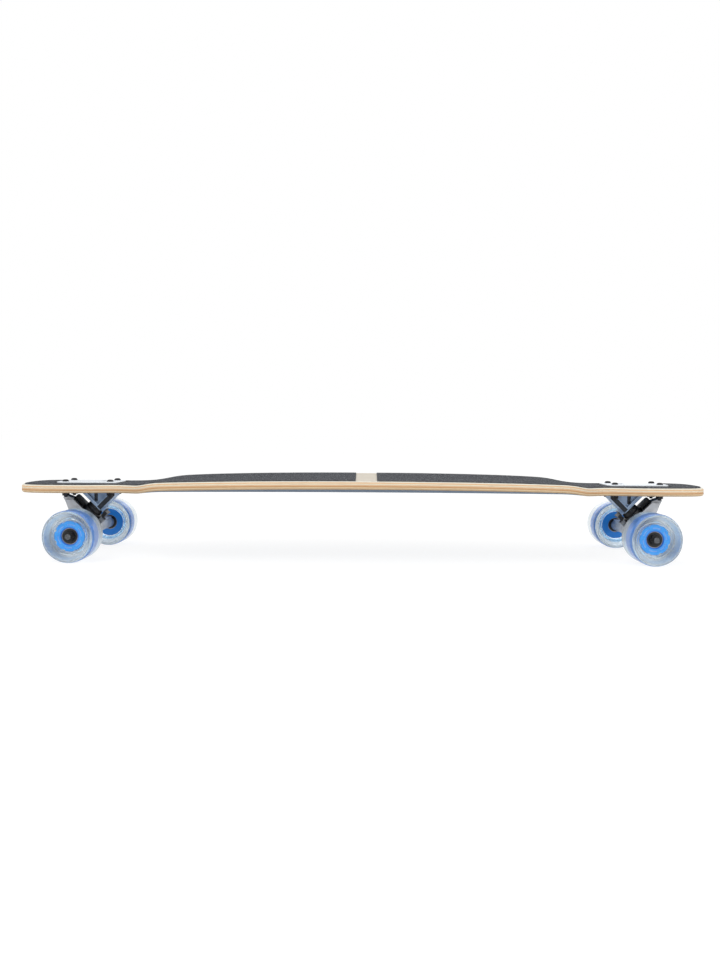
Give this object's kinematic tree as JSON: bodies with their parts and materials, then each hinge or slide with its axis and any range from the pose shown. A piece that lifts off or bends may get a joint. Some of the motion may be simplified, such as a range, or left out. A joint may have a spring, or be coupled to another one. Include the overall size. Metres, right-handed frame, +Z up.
{
  "type": "longboard skateboard",
  "caption": "Drop-through longboard skateboard with a cutaway laminated deck, grip sheets, reverse-kingpin steering trucks and clear wheels on blue cores.",
  "frame": {"origin": "on the ground under the middle of the board, midway between the axles", "axes": "+X along the board towards the rear truck, +Y across it, +Z up"},
  "size_m": [0.966, 0.257, 0.1117],
  "materials": {
    "deck_wood": "pressed maple laminate, clear lacquer on the edge, blue-grey stain underneath",
    "grip": "coarse abrasive grip sheet",
    "cast_aluminium": "tumbled casting",
    "black_hardware": "black oxide",
    "bright_steel": "ground steel",
    "black_urethane": "moulded urethane",
    "clear_urethane": "clear cast urethane",
    "blue_core": "moulded nylon",
    "black_shield": "moulded bearing shield"
  },
  "bodies": {
    "board": {"deck": "deck_wood", "grip_tape_front": "grip", "grip_tape_rear": "grip", "front_baseplate": "cast_aluminium", "front_mounting_bolts": "black_hardware", "front_mounting_nuts": "black_hardware", "front_pivot_cup": "black_urethane", "front_kingpin": "bright_steel", "front_kingpin_nut": "black_hardware", "front_board_bushing": "black_urethane", "front_road_bushing": "black_urethane", "front_cup_washer": "bright_steel", "rear_baseplate": "cast_aluminium", "rear_mounting_bolts": "black_hardware", "rear_mounting_nuts": "black_hardware", "rear_pivot_cup": "black_urethane", "rear_kingpin": "bright_steel", "rear_kingpin_nut": "black_hardware", "rear_board_bushing": "black_urethane", "rear_road_bushing": "black_urethane", "rear_cup_washer": "bright_steel"},
    "front_truck": {"front_hanger": "cast_aluminium", "front_axle": "bright_steel", "front_axle_nuts": "black_hardware", "front_speed_washers": "bright_steel", "front_left_bearing_inner_rings": "bright_steel", "front_left_bearing_spacer": "bright_steel", "front_right_bearing_inner_rings": "bright_steel", "front_right_bearing_spacer": "bright_steel"},
    "front_left_wheel": {"front_left_tyre": "clear_urethane", "front_left_core": "blue_core", "front_left_bearing_outer_rings": "bright_steel", "front_left_bearing_shields": "black_shield", "front_left_bearing_balls": "bright_steel"},
    "front_right_wheel": {"front_right_tyre": "clear_urethane", "front_right_core": "blue_core", "front_right_bearing_outer_rings": "bright_steel", "front_right_bearing_shields": "black_shield", "front_right_bearing_balls": "bright_steel"},
    "rear_truck": {"rear_hanger": "cast_aluminium", "rear_axle": "bright_steel", "rear_axle_nuts": "black_hardware", "rear_speed_washers": "bright_steel", "rear_left_bearing_inner_rings": "bright_steel", "rear_left_bearing_spacer": "bright_steel", "rear_right_bearing_inner_rings": "bright_steel", "rear_right_bearing_spacer": "bright_steel"},
    "rear_left_wheel": {"rear_left_tyre": "clear_urethane", "rear_left_core": "blue_core", "rear_left_bearing_outer_rings": "bright_steel", "rear_left_bearing_shields": "black_shield", "rear_left_bearing_balls": "bright_steel"},
    "rear_right_wheel": {"rear_right_tyre": "clear_urethane", "rear_right_core": "blue_core", "rear_right_bearing_outer_rings": "bright_steel", "rear_right_bearing_shields": "black_shield", "rear_right_bearing_balls": "bright_steel"}
  },
  "joints": [
    {"name": "front_steer", "type": "hinge", "parent": "board", "child": "front_truck", "pos_m": [-0.3905, 0, 0.0595], "axis": [-0.7071, 0, 0.7071], "range_deg": [-14, 14], "stiffness_Nm_per_rad": 30, "deforming": ["front_board_bushing", "front_road_bushing"]},
    {"name": "front_left_roll", "type": "hinge", "parent": "front_truck", "child": "front_left_wheel", "pos_m": [-0.3885, -0.103, 0.035], "axis": [0, 1, 0], "continuous": true},
    {"name": "front_right_roll", "type": "hinge", "parent": "front_truck", "child": "front_right_wheel", "pos_m": [-0.3885, 0.103, 0.035], "axis": [0, 1, 0], "continuous": true},
    {"name": "rear_steer", "type": "hinge", "parent": "board", "child": "rear_truck", "pos_m": [0.3905, 0, 0.0595], "axis": [0.7071, 0, 0.7071], "range_deg": [-14, 14], "stiffness_Nm_per_rad": 30, "deforming": ["rear_board_bushing", "rear_road_bushing"]},
    {"name": "rear_left_roll", "type": "hinge", "parent": "rear_truck", "child": "rear_left_wheel", "pos_m": [0.3885, -0.103, 0.035], "axis": [0, 1, 0], "continuous": true},
    {"name": "rear_right_roll", "type": "hinge", "parent": "rear_truck", "child": "rear_right_wheel", "pos_m": [0.3885, 0.103, 0.035], "axis": [0, 1, 0], "continuous": true}
  ]
}
